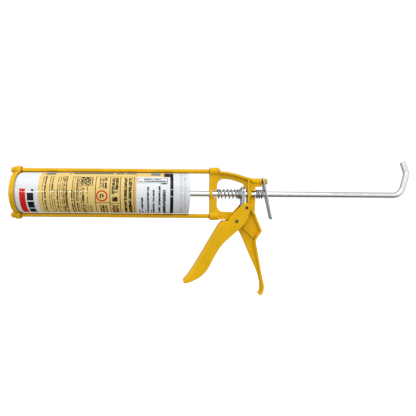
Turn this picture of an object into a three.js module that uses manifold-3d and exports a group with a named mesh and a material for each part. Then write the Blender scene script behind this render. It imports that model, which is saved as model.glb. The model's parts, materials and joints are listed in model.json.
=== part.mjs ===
// Skeleton caulking gun with a cartridge in its cradle.
// Units are millimetres. +X runs from the front ring to the hook along the push rod's axis, +Z is up.
// Pieces are built with X = 0 on the front ring's front face and Z = 0 on the rod's axis, and the
// finished group is moved so that the middle of its bounding box is the origin.

import * as THREE from 'three';
import { mergeVertices } from 'three/addons/utils/BufferGeometryUtils.js';
import Module from 'manifold-3d';

const wasm = await Module();
wasm.setup();

// ---------- driving dimensions ----------

// Cartridge
const cartridgeDiameter = 49.4;
const cartridgeLength = 212;
const cartridgeWall = 1.4;
const cartridgeEndWall = 1.8;
const shoulderStep = 1.5;
const nippleDiameter = 15;
const nippleLength = 11;
const nippleBore = 8;
const plungerLength = 17;
const plungerWall = 1.6;
const stickerStart = 148.2;
const stickerLength = 40.2;
const stickerThickness = 0.18;
const stickerTop = 128;
const stickerEnd = 252;

// Cradle: front ring and rails
const railDiameter = 5.4;
const railHeadDiameter = 8;
const railHeadLength = 6.3;
const railSocketDepth = 10.8;
const ringWall = 2.3;
const ringFloor = 2.5;
const ringDepth = 6.9;
const ringBandDepth = 5.8;
const ringLip = 4.5;
const railEarDiameter = 10.4;
const loadingRoom = 25.4;

// Push rod and piston
const rodDiameter = 6.5;
const rodTail = 171.5;
const rodNose = 88;
const rodEndLength = 1.2;
const hookBendRadius = 12.4;
const hookLean = THREE.MathUtils.degToRad(15);
const hookLeg = 27.6;
const hookTipLean = THREE.MathUtils.degToRad(-19);
const hookTip = 15.2;
const pistonRoom = 0.9;
const pistonSheet = 1.8;
const pistonRim = 5;
const pistonNutWall = 1.75;
const pistonNutHeight = 5;
const pistonCollarWall = 3.25;
const pistonCollarLength = 3;

// Casting
const castingLength = 57.1;
const webThickness = 4.6;
const flangeRoom = 0.9;
const flangeThickness = 2.9;
const frontBar = 9.3;
const rearBar = 10.1;
const windowTop = 18.8;
const windowShelf = 4.4;
const railBossLength = 13;
const railBossDiameter = 9.8;
const bossStep = 0.6;
const noseDiameter = 8;
const noseHeight = 15.7;
const noseNeckDiameter = 4.4;
const noseReach = 9.65;
const noseNeckLength = 2.05;
const noseTipLength = 3.85;
const noseTaper = 2.8;
const noseWebDepth = 6.4;
const handleLength = 125;
const gripTop = 60.5;

// Trigger, its pins and the drive
const triggerWidth = 19;
const triggerSheet = 2;
const pivotPinDiameter = 3.5;
const drivePinDiameter = 3;
const pivotSetback = 14.3;
const pivotDrop = 5.95;
const pivotBossWall = 4;
const drivePinDrop = 17.1;
const drivePlateThickness = 1.8;
const drivePlateRoom = 0.7;
const drivePlateTop = 8.7;
const drivePlateTail = 3.3;
const springWasherThickness = 1.2;
const springWireDiameter = 1.6;
const springRoom = 1.05;
const springTurns = 6.9;

// Release plate and its spring
const releaseTilt = THREE.MathUtils.degToRad(12);
const releaseSwing = THREE.MathUtils.degToRad(8);
const releasePlateThickness = 1.8;
const releasePlateWidth = 12;
const releasePlateTop = 19.8;
const releasePlateBottom = 31;
const releaseSpringTurns = 3.6;

// Clearances
const seatGap = 0.3;
const railGap = 0.35;
const cupGap = 0.3;
const rodGap = 0.35;
const releaseHoleGap = 0.55;
const cheekGap = 0.4;
const plungerGap = 0.35;
const stickerGap = 0.08;

// ---------- places worked out from them ----------

const cartridgeRadius = cartridgeDiameter / 2;
const rodRadius = rodDiameter / 2;
const railRadius = railDiameter / 2;
const railOffset = cartridgeRadius + railGap + railRadius;
const shoulderRadius = cartridgeRadius - shoulderStep;
const cupRadius = shoulderRadius + cupGap;
const ringRadius = cupRadius + ringWall;
const cartridgeFront = ringFloor + seatGap;
const cartridgeRear = cartridgeFront + cartridgeLength;
const castingX = cartridgeRear + loadingRoom;
const rodHole = rodRadius + rodGap;
const pistonRadius = cartridgeRadius - cartridgeWall - pistonRoom;
const springDiameter = rodDiameter + 2 * (springWireDiameter + springRoom);
const rodBossRadius = springDiameter / 2;
const triggerInside = triggerWidth - 2 * triggerSheet;
const pinBossWidth = triggerInside - 2 * cheekGap;
const flangeWidth = triggerInside - 2 * flangeRoom;
const drivePlateWidth = triggerInside - 2 * drivePlateRoom;
const windowRight = castingLength - rearBar;
const windowBottom = drivePinDrop + 5;
const pivotX = windowRight - pivotSetback;
const pivotZ = -railOffset - pivotDrop;
const drivePinX = windowRight - seatGap * 1.2 - drivePinDiameter / 2;
const drivePinZ = -drivePinDrop;
const drivePlateBottom = drivePinDrop + drivePlateTail;
const drivePlateRear = drivePinX - drivePinDiameter / 2 - seatGap;
const drivePlateFront = drivePlateRear - 2 * drivePlateThickness - seatGap;
const springFront = frontBar + seatGap;
const springRear = drivePlateFront - seatGap - springWasherThickness - seatGap;
const releaseHingeX = castingLength + noseReach;
const releaseAxisX = releaseHingeX + noseHeight * Math.tan(releaseTilt);
const pistonFace = castingX - rodNose;

// ---------- shape helpers ----------

const sides = 48;
const smallSides = 20;

function solid(geometry) {
  const bare = geometry.index ? geometry.toNonIndexed() : geometry.clone();
  for (const name of Object.keys(bare.attributes)) {
    if (name !== 'position') bare.deleteAttribute(name);
  }
  const merged = mergeVertices(bare, 1e-4);
  const mesh = new wasm.Mesh({
    numProp: 3,
    vertProperties: new Float32Array(merged.attributes.position.array),
    triVerts: new Uint32Array(merged.index.array),
  });
  return new wasm.Manifold(mesh);
}

function join(first, ...rest) {
  return rest.reduce((sum, piece) => sum.add(piece), first);
}

function cut(first, ...tools) {
  return tools.reduce((left, tool) => left.subtract(tool), first);
}

function geometryOf(manifold) {
  const mesh = manifold.getMesh();
  const geometry = new THREE.BufferGeometry();
  geometry.setAttribute('position', new THREE.BufferAttribute(mesh.vertProperties, 3));
  geometry.setIndex(new THREE.BufferAttribute(mesh.triVerts, 1));
  geometry.computeVertexNormals();
  return geometry;
}

function roundBar(x0, x1, radius, z = 0, count = sides) {
  const geometry = new THREE.CylinderGeometry(radius, radius, x1 - x0, count);
  geometry.rotateZ(Math.PI / 2);
  geometry.translate((x0 + x1) / 2, 0, z);
  return solid(geometry);
}

function crossPin(width, radius, x, z, count = smallSides) {
  const geometry = new THREE.CylinderGeometry(radius, radius, width, count);
  geometry.translate(x, 0, z);
  return solid(geometry);
}

function block(x0, x1, y0, y1, z0, z1) {
  const geometry = new THREE.BoxGeometry(x1 - x0, y1 - y0, z1 - z0);
  geometry.translate((x0 + x1) / 2, (y0 + y1) / 2, (z0 + z1) / 2);
  return solid(geometry);
}

function anticlockwise(outline) {
  return THREE.ShapeUtils.isClockWise(outline) ? outline.slice().reverse() : outline;
}

// A flat piece: its outline is drawn in X and Z, and its width runs along Y, centred.
function flatPiece(outline, width, holes = []) {
  const shape = new THREE.Shape(anticlockwise(outline));
  shape.holes = holes.map((points) => new THREE.Path(points));
  const geometry = new THREE.ExtrudeGeometry(shape, { depth: width, bevelEnabled: false, steps: 1 });
  geometry.rotateX(Math.PI / 2);
  geometry.translate(0, width / 2, 0);
  return solid(geometry);
}

// A shape drawn across the rod, in Y and Z, with its depth along X.
function alongRod(shape, x0, depth) {
  const geometry = new THREE.ExtrudeGeometry(shape, { depth, bevelEnabled: false });
  geometry.rotateZ(Math.PI / 2);
  geometry.rotateY(Math.PI / 2);
  geometry.translate(x0, 0, 0);
  return solid(geometry);
}

// A piece turned about X: the profile's points are (radius, distance along X).
function turned(profile, z = 0, count = sides) {
  const points = profile.map(([radius, along]) => new THREE.Vector2(radius, along));
  const geometry = new THREE.LatheGeometry(points, count);
  geometry.rotateZ(-Math.PI / 2);
  geometry.translate(0, 0, z);
  return solid(geometry);
}

function points2(list) {
  return list.map(([x, z]) => new THREE.Vector2(x, z));
}

function smooth(list, perSpan = 3) {
  const points = points2(list);
  return new THREE.SplineCurve(points).getPoints((points.length - 1) * perSpan);
}

function arc(x, z, radius, fromDegrees, toDegrees, count = 6) {
  const rad = THREE.MathUtils.degToRad;
  const curve = new THREE.EllipseCurve(
    x, z, radius, radius, rad(fromDegrees), rad(toDegrees), toDegrees < fromDegrees);
  return curve.getPoints(count);
}

// The line that runs beside an open line, at a distance to its right-hand side.
function beside(line, distance) {
  return line.map((point, i) => {
    const before = line[Math.max(i - 1, 0)];
    const after = line[Math.min(i + 1, line.length - 1)];
    const along = after.clone().sub(before).normalize();
    return new THREE.Vector2(point.x + along.y * distance, point.y - along.x * distance);
  });
}

function ribbon(line, thickness, width) {
  return flatPiece([...line, ...beside(line, thickness).reverse()], width);
}

class Helix extends THREE.Curve {
  constructor(x0, x1, radius, turns, endPitch) {
    super();
    Object.assign(this, { x0, x1, radius, turns, endPitch });
  }

  // One closed turn at each end, and the open turns between them.
  getPoint(t, target = new THREE.Vector3()) {
    const turn = t * this.turns;
    const openRise = this.x1 - this.x0 - 2 * this.endPitch;
    const open = THREE.MathUtils.clamp(turn - 1, 0, this.turns - 2);
    const closed = turn - open;
    const x = this.x0 + closed * this.endPitch + (open / (this.turns - 2)) * openRise;
    const angle = turn * 2 * Math.PI;
    return target.set(x, this.radius * Math.cos(angle), this.radius * Math.sin(angle));
  }
}

function coil(x0, x1, outerDiameter, wire, turns) {
  const path = new Helix(
    x0 + wire / 2, x1 - wire / 2, (outerDiameter - wire) / 2, turns, wire * 1.12);
  const section = new THREE.Shape().absarc(0, 0, wire / 2, 0, 2 * Math.PI);
  return new THREE.ExtrudeGeometry(section, {
    steps: Math.round(turns * 12), bevelEnabled: false, curveSegments: 4, extrudePath: path,
  });
}

// ---------- cradle ----------

function frontRing() {
  const holeRadius = cupRadius - ringLip;
  const band = turned([
    [holeRadius, 0], [ringRadius, 0], [ringRadius, ringBandDepth],
    [cupRadius, ringBandDepth], [cupRadius, ringFloor], [holeRadius, ringFloor], [holeRadius, 0],
  ]);
  const ears = [1, -1].map((side) => roundBar(0, ringDepth, railEarDiameter / 2, side * railOffset));
  const railHoles = [1, -1].map((side) => (
    roundBar(-1, ringDepth + 1, railRadius + seatGap, side * railOffset)
  ));
  const cup = roundBar(ringFloor, ringDepth + 1, cupRadius);
  const nozzleHole = roundBar(-1, ringFloor + 1, holeRadius);
  return cut(join(band, ...ears), cup, nozzleHole, ...railHoles);
}

function rail(side) {
  const headRadius = railHeadDiameter / 2;
  const headFront = -seatGap - railHeadLength;
  const dome = arc(0, headFront + headRadius, headRadius, -90, 0)
    .map((point) => [Math.max(point.x, 0), point.y]);
  dome[0][0] = 0;
  return turned([
    ...dome,
    [headRadius, -seatGap - 0.8], [headRadius - 0.8, -seatGap], [railRadius, -seatGap],
    [railRadius, castingX + railSocketDepth], [0, castingX + railSocketDepth],
  ], side * railOffset, 24);
}

// ---------- casting ----------

// The casting's X values start at its front face.
const armTop = smooth([
  [railBossLength - 1, railOffset], [castingLength * 0.35, railOffset - 0.5],
  [castingLength * 0.56, railOffset - 2.8], [castingLength * 0.75, railOffset - 6],
  [castingLength * 0.89, noseHeight + noseDiameter / 2],
]);

// A point of the grip: its distance behind the casting's rear face, and its share of the grip's length.
function onGrip(behind, share) {
  return [castingLength + behind, -gripTop - share * (handleLength - gripTop)];
}

const handleRear = smooth([
  ...[[-0.6, -24], [2.5, -33], [6.5, -42], [7.3, -45.6], [5.7, -48.6], [0.9, -55.8]]
    .map(([behind, z]) => [castingLength + behind, z]),
  onGrip(0.5, 0), onGrip(2.5, 0.163), onGrip(5.1, 0.38), onGrip(7.7, 0.605),
  onGrip(10.2, 0.775), onGrip(10.6, 0.845), onGrip(9.4, 0.938), onGrip(6.1, 1),
]);
const handleFront = smooth([
  onGrip(4.3, 0.978), onGrip(5.9, 0.884), onGrip(5.7, 0.743), onGrip(2.3, 0.544),
  onGrip(-5.4, 0.285), onGrip(-13.2, 0), [pivotX + 3.7, pivotZ - 10.7],
], 2);
const bottomStart = railBossLength - 2;
const bottomEnd = pivotX - 10.3;
const bottomMiddle = THREE.MathUtils.lerp(bottomStart, bottomEnd, 0.57);
const bottomEdge = points2([
  [pivotX - 2.2, pivotZ - 8.5], [bottomEnd - 0.8, -railOffset - 4],
  [bottomMiddle, -railOffset - 3.45], [0, -railOffset - 3.45],
]);

function windowOutline() {
  const left = frontBar;
  const width = windowRight - frontBar;
  const shelf = windowRight - windowShelf;
  return [
    ...arc(left + 9, windowTop - 9, 9, 180, 95),
    ...smooth([
      [left + width * 0.44, windowTop - 0.6], [left + width * 0.65, windowTop - 2.9],
      [left + width * 0.81, windowTop - 5],
    ], 2),
    ...arc(shelf - 2.4, windowTop - 7.6, 2.4, 70, 0, 4),
    ...points2([[shelf + 1, drivePlateTop + 0.4], [shelf + 1.2, drivePlateTop - 1.9]]),
    new THREE.Vector2(windowRight, drivePlateTop - 2.3),
    ...arc(windowRight - 2, -windowBottom + 2, 2, 0, -90, 3),
    ...arc(left + 8.5, -windowBottom + 8.5, 8.5, -90, -180),
  ];
}

function castingWeb() {
  const outline = [
    new THREE.Vector2(0, railOffset),
    ...armTop,
    ...points2([[castingLength, noseHeight], [castingLength, -8]]),
    ...handleRear,
    ...handleFront,
    ...bottomEdge,
  ];
  return flatPiece(outline, webThickness, [windowOutline()]);
}

function castingFlanges() {
  const besideWindow = windowRight + 2.4;
  const rearLine = [
    ...smooth([[besideWindow, noseHeight + 2], [besideWindow, -11], [castingLength - 5.5, -18.2]], 3),
    ...handleRear,
  ];
  const bottom = points2([
    [bottomEnd, -railOffset - 4.6], [bottomMiddle, -railOffset - 3.6],
    [bottomStart, -railOffset - 4.4],
  ]);
  const gripBrace = points2([[castingLength - 2.5, -54.6], [pivotX + 7.7, pivotZ - 7.5]]);
  return join(
    ribbon(armTop, flangeThickness, flangeWidth),
    ribbon(rearLine, flangeThickness - 0.4, flangeWidth),
    ribbon(bottom, flangeThickness, flangeWidth - 3),
    ribbon(gripBrace, flangeThickness - 0.5, flangeWidth - 2),
  );
}

function castingBosses() {
  const bossRadius = railBossDiameter / 2;
  const railBosses = [1, -1].map((side) => turned([
    [0, 0], [bossRadius - 0.5, 0], [bossRadius, 0.5], [bossRadius, railBossLength - 2],
    [bossRadius - 2.6, railBossLength + bossStep], [0, railBossLength + bossStep],
  ], side * railOffset, 28));
  return join(
    ...railBosses,
    roundBar(0, flangeThickness + bossStep, rodBossRadius, 0, 32),
    roundBar(windowRight, castingLength, rodBossRadius, 0, 32),
    crossPin(pinBossWidth, pivotPinDiameter / 2 + pivotBossWall, pivotX, pivotZ, 28),
  );
}

// The release plate hangs on the nose's neck, and the tip's inner face slants to clear its swing.
function nose() {
  const radius = noseDiameter / 2;
  const slant = Math.tan(releaseTilt - releaseSwing / 2);
  const hinge = releaseHingeX;
  const barEnd = hinge - noseNeckLength;
  const tipStart = hinge + releasePlateThickness / 2 + 2 * seatGap;
  const tipEnd = tipStart + noseTipLength;
  const high = noseHeight + radius;
  const low = noseHeight - radius;
  const bar = roundBar(windowRight, barEnd, radius, noseHeight, 28);
  const barShape = flatPiece(points2([
    [windowRight, high], [barEnd, high], [barEnd, low], [castingLength + noseTaper, low],
    [windowRight, high - 1.6],
  ]), 2 * noseDiameter);
  const tipShape = flatPiece(points2([
    [tipStart - radius * slant, high], [tipEnd + 1, high],
    [tipEnd + 1, low], [tipStart + radius * slant, low],
  ]), 2 * noseDiameter);
  const tip = turned([
    [0, hinge], [radius, hinge], [radius, tipEnd - 1.6], [radius - 0.6, tipEnd - 0.6],
    [radius - 1.8, tipEnd], [0, tipEnd],
  ], noseHeight, 28);
  const neck = roundBar(barEnd - 1, tipStart + 1, noseNeckDiameter / 2, noseHeight, 20);
  const under = flatPiece(points2([
    [windowRight, noseHeight], [barEnd, noseHeight],
    [barEnd, noseHeight - noseWebDepth], [windowRight, noseHeight - noseWebDepth],
  ]), webThickness);
  return join(bar.intersect(barShape), tip.intersect(tipShape), neck, under);
}

function castingBody() {
  const whole = join(castingWeb(), castingFlanges(), castingBosses(), nose());
  const slotHalf = rodHole + 0.15;
  const railSockets = [1, -1].map((side) => (
    roundBar(-1, railSocketDepth + seatGap, railRadius + seatGap, side * railOffset, 24)
  ));
  return cut(
    whole,
    ...railSockets,
    roundBar(-1, castingLength + 1, rodHole, 0, 28),
    block(flangeThickness + bossStep, frontBar + 1, -10, 10, -slotHalf, slotHalf),
    block(castingLength - 5.4, castingLength + 1, -10, 0, -slotHalf, slotHalf),
    crossPin(2 * triggerWidth, pivotPinDiameter / 2 + seatGap, pivotX, pivotZ),
    clearanceForDrive(),
  );
}

// Room in the window's edges for the plates, the washer and the drive pin.
function clearanceForDrive() {
  const reach = drivePlateWidth / 2 + 1;
  return block(
    frontBar + 4, windowRight, -reach, reach, drivePinZ - drivePinDiameter / 2 - 3, drivePlateTop - 2.6);
}

// ---------- trigger ----------

// The trigger's outlines start at its pivot.
const triggerFront = smooth([
  [-11.1, 0.5], [-16.7, 0.3], [-22.1, -5.9], [-33.1, -24.1], [-44.3, -43.5], [-56.4, -63.1], [-63.1, -71.7],
]);
const triggerRear = smooth([
  [-61.3, -76.7], [-53.3, -73.7], [-42.7, -67.5], [-34.3, -58.1], [-26.5, -42.9], [-17.3, -28.9],
  [-4.7, -16.7], [7.1, -6.3], [13.5, 3.3],
]);

function triggerCheekOutline() {
  return [
    ...triggerFront,
    ...arc(-62.3, -74.1, 2.6, 150, 250, 4),
    ...triggerRear,
    ...arc(drivePinX - pivotX - 1.2, drivePinZ - pivotZ + 0.4, 6.2, -20, 118, 8),
    ...points2([[-9.1, 3.1]]),
  ];
}

function trigger() {
  const inner = beside(triggerFront, -triggerSheet).slice(2, -1);
  const openSide = points2([[-48, -116], [58, -116], [58, 54], [-33, 54], [-12.7, -0.3]]);
  const channel = cut(
    flatPiece(triggerCheekOutline(), triggerWidth),
    flatPiece([...inner, ...openSide], triggerInside),
  );
  return cut(
    channel.translate([pivotX, 0, pivotZ]),
    crossPin(2 * triggerWidth, pivotPinDiameter / 2 + seatGap, pivotX, pivotZ),
    crossPin(2 * triggerWidth, drivePinDiameter / 2 + seatGap, drivePinX, drivePinZ),
  );
}

function pivotPin() {
  return crossPin(triggerWidth + 0.6, pivotPinDiameter / 2, pivotX, pivotZ);
}

function drivePin() {
  return crossPin(triggerWidth - 0.4, drivePinDiameter / 2, drivePinX, drivePinZ);
}

// ---------- drive ----------

// A plate that stands across the rod: a strip with rounded ends and a hole for the rod.
function crossPlate(x0, thickness, width, top, bottom, holeRadius, topCorner) {
  const half = width / 2;
  const corner = 3;
  const outline = [
    ...arc(half - topCorner, top - topCorner, topCorner, 0, 90, 8),
    ...arc(-half + topCorner, top - topCorner, topCorner, 90, 180, 8),
    ...arc(-half + corner, -bottom + corner, corner, 180, 270, 4),
    ...arc(half - corner, -bottom + corner, corner, 270, 360, 4),
  ];
  const shape = new THREE.Shape(outline);
  shape.holes = [new THREE.Path(arc(0, 0, holeRadius, 0, 360, 24).slice(0, -1))];
  return alongRod(shape, x0, thickness);
}

function drivePlate(index) {
  const x0 = drivePlateFront + index * (drivePlateThickness + seatGap);
  return crossPlate(
    x0, drivePlateThickness, drivePlateWidth, drivePlateTop, drivePlateBottom, rodHole,
    drivePlateWidth / 2 - 0.2);
}

function springWasher() {
  const x1 = drivePlateFront - seatGap;
  return cut(
    roundBar(x1 - springWasherThickness, x1, springDiameter / 2 + 0.6, 0, 32),
    roundBar(x1 - springWasherThickness - 1, x1 + 1, rodHole, 0, 24),
  );
}

function mainSpring() {
  return coil(springFront, springRear, springDiameter, springWireDiameter, springTurns);
}

// ---------- release ----------

function releasePlate() {
  const blank = crossPlate(
    -releasePlateThickness / 2, releasePlateThickness, releasePlateWidth,
    releasePlateTop / Math.cos(releaseTilt), releasePlateBottom / Math.cos(releaseTilt),
    rodRadius + releaseHoleGap, 3);
  const forkHalf = noseNeckDiameter / 2 + seatGap;
  const forkDepth = noseHeight / Math.cos(releaseTilt);
  const fork = join(
    block(-5, 5, -forkHalf, forkHalf, forkDepth, releasePlateTop + 5),
    roundBar(-5, 5, forkHalf, forkDepth, 20),
  );
  return cut(blank, fork).rotate([0, -THREE.MathUtils.radToDeg(releaseTilt), 0])
    .translate([releaseAxisX, 0, 0]);
}

function releaseSpring() {
  const reach = springDiameter / 2 * Math.tan(releaseTilt) + releasePlateThickness / 2 + seatGap;
  return coil(
    castingLength + seatGap, releaseAxisX - reach, springDiameter - 0.6, springWireDiameter,
    releaseSpringTurns);
}

// ---------- push rod and piston ----------

// The hook's leg leans away from the casting and its end turns back over the rod.
function pushRod() {
  const direction = (angle) => new THREE.Vector3(Math.sin(angle), 0, Math.cos(angle));
  const kneeTangent = hookBendRadius * Math.tan((Math.PI / 2 - hookLean) / 2);
  const elbowTangent = hookBendRadius * Math.tan((hookLean - hookTipLean) / 2);
  const front = new THREE.Vector3(pistonFace - seatGap - pistonNutHeight - rodEndLength, 0, 0);
  const tail = new THREE.Vector3(castingX + castingLength + rodTail, 0, 0);
  const knee = tail.clone().setX(tail.x + kneeTangent);
  const elbow = knee.clone().addScaledVector(direction(hookLean), hookLeg);
  const tip = elbow.clone().addScaledVector(direction(hookTipLean), hookTip);
  const legLow = knee.clone().addScaledVector(direction(hookLean), kneeTangent);
  const legHigh = elbow.clone().addScaledVector(direction(hookLean), -elbowTangent);
  const tipLow = elbow.clone().addScaledVector(direction(hookTipLean), elbowTangent);
  const path = new THREE.CurvePath();
  path.add(new THREE.LineCurve3(front, tail));
  path.add(new THREE.QuadraticBezierCurve3(tail, knee, legLow));
  path.add(new THREE.LineCurve3(legLow, legHigh));
  path.add(new THREE.QuadraticBezierCurve3(legHigh, elbow, tipLow));
  path.add(new THREE.LineCurve3(tipLow, tip));
  const section = new THREE.Shape().absarc(0, 0, rodRadius, 0, 2 * Math.PI);
  return new THREE.ExtrudeGeometry(section, {
    steps: 100, bevelEnabled: false, curveSegments: 7, extrudePath: path,
  });
}

function pistonDisc() {
  const radius = pistonRadius;
  const back = pistonFace + pistonSheet;
  return turned([
    [rodHole, pistonFace], [radius - 1.4, pistonFace], [radius, pistonFace + 1.4],
    [radius, pistonFace + pistonRim], [radius - pistonSheet, pistonFace + pistonRim],
    [radius - pistonSheet, back], [rodHole, back], [rodHole, pistonFace],
  ]);
}

function pistonNut() {
  const rear = pistonFace - seatGap;
  const acrossCorners = (rodDiameter + 2 * pistonNutWall) / Math.cos(Math.PI / 6);
  return cut(
    roundBar(rear - pistonNutHeight, rear, acrossCorners / 2, 0, 6),
    roundBar(rear - pistonNutHeight - 1, rear + 1, rodRadius + seatGap, 0, 24),
  );
}

function pistonCollar() {
  const front = pistonFace + pistonSheet + seatGap;
  return cut(
    roundBar(front, front + pistonCollarLength, rodRadius + pistonCollarWall, 0, 28),
    roundBar(front - 1, front + pistonCollarLength + 1, rodRadius + seatGap, 0, 24),
  );
}

// ---------- cartridge ----------

function cartridgeTube() {
  const inner = cartridgeRadius - cartridgeWall;
  const bore = nippleBore / 2;
  const nipple = nippleDiameter / 2;
  const tip = cartridgeFront - nippleLength;
  const wallBack = cartridgeFront + cartridgeEndWall;
  const shoulder = shoulderRadius;
  const shoulderEnd = ringDepth + seatGap;
  return turned([
    [0, tip], [nipple - 1, tip], [nipple, tip + 1], [nipple, cartridgeFront],
    [shoulder - 0.6, cartridgeFront], [shoulder, cartridgeFront + 0.6], [shoulder, shoulderEnd],
    [cartridgeRadius - 0.4, shoulderEnd], [cartridgeRadius, shoulderEnd + 0.4],
    [cartridgeRadius, cartridgeRear], [inner, cartridgeRear], [inner, shoulderEnd + cartridgeWall],
    [shoulder - cartridgeWall, shoulderEnd + cartridgeWall - 0.6], [shoulder - cartridgeWall, wallBack],
    [bore, wallBack], [bore, tip + 1.6], [0, tip + 1.6],
  ]);
}

function cartridgePlunger() {
  const radius = cartridgeRadius - cartridgeWall - plungerGap;
  const front = ringDepth + cartridgeWall + 2 * seatGap;
  const rear = front + plungerLength;
  const inner = radius - plungerWall;
  return turned([
    [0, front], [radius - 3, front], [radius, front + 2.5], [radius, rear],
    [inner, rear], [inner, front + 4], [inner - 2, front + plungerWall + 0.6],
    [0, front + plungerWall + 0.6],
  ]);
}

function cartridgeSticker() {
  const innerRadius = cartridgeRadius + stickerGap;
  const outerRadius = innerRadius + stickerThickness;
  const outline = [
    ...arc(0, 0, outerRadius, stickerTop, stickerEnd, 24),
    ...arc(0, 0, innerRadius, stickerEnd, stickerTop, 24),
  ];
  return alongRod(new THREE.Shape(outline), cartridgeFront + stickerStart, stickerLength);
}

// ---------- finishes ----------

const finishes = {
  yellowEnamel: { color: 0xe3af1c, roughness: 0.42, metalness: 0 },
  zincSteel: { color: 0xc4c8cc, roughness: 0.28, metalness: 1 },
  springSteel: { color: 0x8d9298, roughness: 0.35, metalness: 1 },
  printedPlastic: { color: 0xf0d582, roughness: 0.4, metalness: 0 },
  whitePlastic: { color: 0xf2f2ee, roughness: 0.5, metalness: 0 },
  paper: { color: 0xf4f6fa, roughness: 0.6, metalness: 0 },
  darkSteel: { color: 0x4a4642, roughness: 0.45, metalness: 1 },
};

const gun = new THREE.Group();
const casting = new THREE.Group();
casting.position.x = castingX;
gun.add(casting);

function addPiece(group, name, piece, finish) {
  const geometry = piece.isBufferGeometry ? piece : geometryOf(piece);
  const mesh = new THREE.Mesh(geometry, new THREE.MeshStandardMaterial(finishes[finish]));
  mesh.name = name;
  group.add(mesh);
}

addPiece(gun, 'front_ring', frontRing(), 'yellowEnamel');
addPiece(gun, 'rail_top', rail(1), 'yellowEnamel');
addPiece(gun, 'rail_bottom', rail(-1), 'yellowEnamel');
addPiece(casting, 'body_casting', castingBody(), 'yellowEnamel');
addPiece(casting, 'trigger', trigger(), 'yellowEnamel');
addPiece(casting, 'pivot_pin', pivotPin(), 'zincSteel');
addPiece(casting, 'drive_pin', drivePin(), 'darkSteel');
addPiece(casting, 'drive_plate_front', drivePlate(0), 'zincSteel');
addPiece(casting, 'drive_plate_rear', drivePlate(1), 'zincSteel');
addPiece(casting, 'spring_washer', springWasher(), 'zincSteel');
addPiece(casting, 'main_spring', mainSpring(), 'springSteel');
addPiece(casting, 'release_plate', releasePlate(), 'zincSteel');
addPiece(casting, 'release_spring', releaseSpring(), 'springSteel');
addPiece(gun, 'push_rod', pushRod(), 'zincSteel');
addPiece(gun, 'piston_disc', pistonDisc(), 'zincSteel');
addPiece(gun, 'piston_nut', pistonNut(), 'zincSteel');
addPiece(gun, 'piston_collar', pistonCollar(), 'zincSteel');
addPiece(gun, 'cartridge_tube', cartridgeTube(), 'printedPlastic');
addPiece(gun, 'cartridge_plunger', cartridgePlunger(), 'whitePlastic');
addPiece(gun, 'cartridge_sticker', cartridgeSticker(), 'paper');

const middle = new THREE.Box3().setFromObject(gun).getCenter(new THREE.Vector3());
gun.position.set(-middle.x, 0, -middle.z);

export default gun;
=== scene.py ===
import json
import math

import bmesh
import bpy
from mathutils import Matrix, Vector


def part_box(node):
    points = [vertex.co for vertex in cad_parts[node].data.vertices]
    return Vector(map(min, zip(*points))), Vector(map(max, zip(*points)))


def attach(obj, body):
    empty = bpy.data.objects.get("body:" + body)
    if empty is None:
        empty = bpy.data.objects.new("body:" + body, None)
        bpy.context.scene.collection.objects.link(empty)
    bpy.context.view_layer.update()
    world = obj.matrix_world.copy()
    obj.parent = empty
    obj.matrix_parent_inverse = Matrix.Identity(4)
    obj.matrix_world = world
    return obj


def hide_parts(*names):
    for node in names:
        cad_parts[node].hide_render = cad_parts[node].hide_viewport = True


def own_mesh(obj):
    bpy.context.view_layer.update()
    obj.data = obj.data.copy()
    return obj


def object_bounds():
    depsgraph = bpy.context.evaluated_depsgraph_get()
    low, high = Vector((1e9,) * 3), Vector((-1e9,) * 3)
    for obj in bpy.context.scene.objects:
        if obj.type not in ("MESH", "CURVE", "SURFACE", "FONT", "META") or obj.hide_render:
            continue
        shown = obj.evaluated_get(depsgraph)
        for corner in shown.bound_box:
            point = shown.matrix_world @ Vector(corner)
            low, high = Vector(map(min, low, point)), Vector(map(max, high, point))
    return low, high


bl_info = {
    "name": "Caulking Gun Maker",
    "version": (1, 0, 0),
    "blender": (4, 5, 0),
    "location": "3D View > Sidebar > Caulking Gun",
    "description": "Builds a skeleton caulking gun and its sealant cartridge around a packed frame",
    "category": "Object",
}

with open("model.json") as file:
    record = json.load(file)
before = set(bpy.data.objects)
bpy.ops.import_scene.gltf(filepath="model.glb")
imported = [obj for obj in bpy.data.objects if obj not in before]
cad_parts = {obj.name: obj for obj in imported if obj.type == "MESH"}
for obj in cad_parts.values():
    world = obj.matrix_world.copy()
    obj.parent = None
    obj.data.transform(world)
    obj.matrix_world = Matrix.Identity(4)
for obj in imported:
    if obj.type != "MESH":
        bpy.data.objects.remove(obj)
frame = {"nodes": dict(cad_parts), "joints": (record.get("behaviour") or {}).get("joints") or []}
CAD_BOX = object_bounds()

MM = 0.001


def low(node):
    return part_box(node)[0]


def high(node):
    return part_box(node)[1]


# Places that the pieces share, in metres. The rod's axis runs along X through ROD_Z.
ROD_Z = (low("piston_disc").z + high("piston_disc").z) / 2
RAIL_RISE = (low("rail_top").z + high("rail_top").z) / 2 - ROD_Z
RING_X = low("front_ring").x
CASTING_X = low("body_casting").x
TUBE_RADIUS = high("cartridge_tube").y
JOINTS = {joint["name"]: joint for joint in frame["joints"]}

# Small sizes that several pieces share.
LOOSE_FIT = 0.35 * MM  # round the rod, in the plates, the washer and the disc
CLOSE_FIT = 0.3 * MM  # round the rod, in the collar and the nut
RELEASE_FIT = 0.55 * MM  # round the rod, in the leaning release plate
RAIL_FIT = 0.25 * MM  # round the rails, in the ring's ears
PLATE_CORNER = 3 * MM
PLATE_EDGE = 0.3 * MM
PIN_DOME = 0.5 * MM
STICKER_SWEEP = (128, 252)  # degrees round the tube, from the side of +Y
SKIN_ROUNDS = 4


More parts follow.
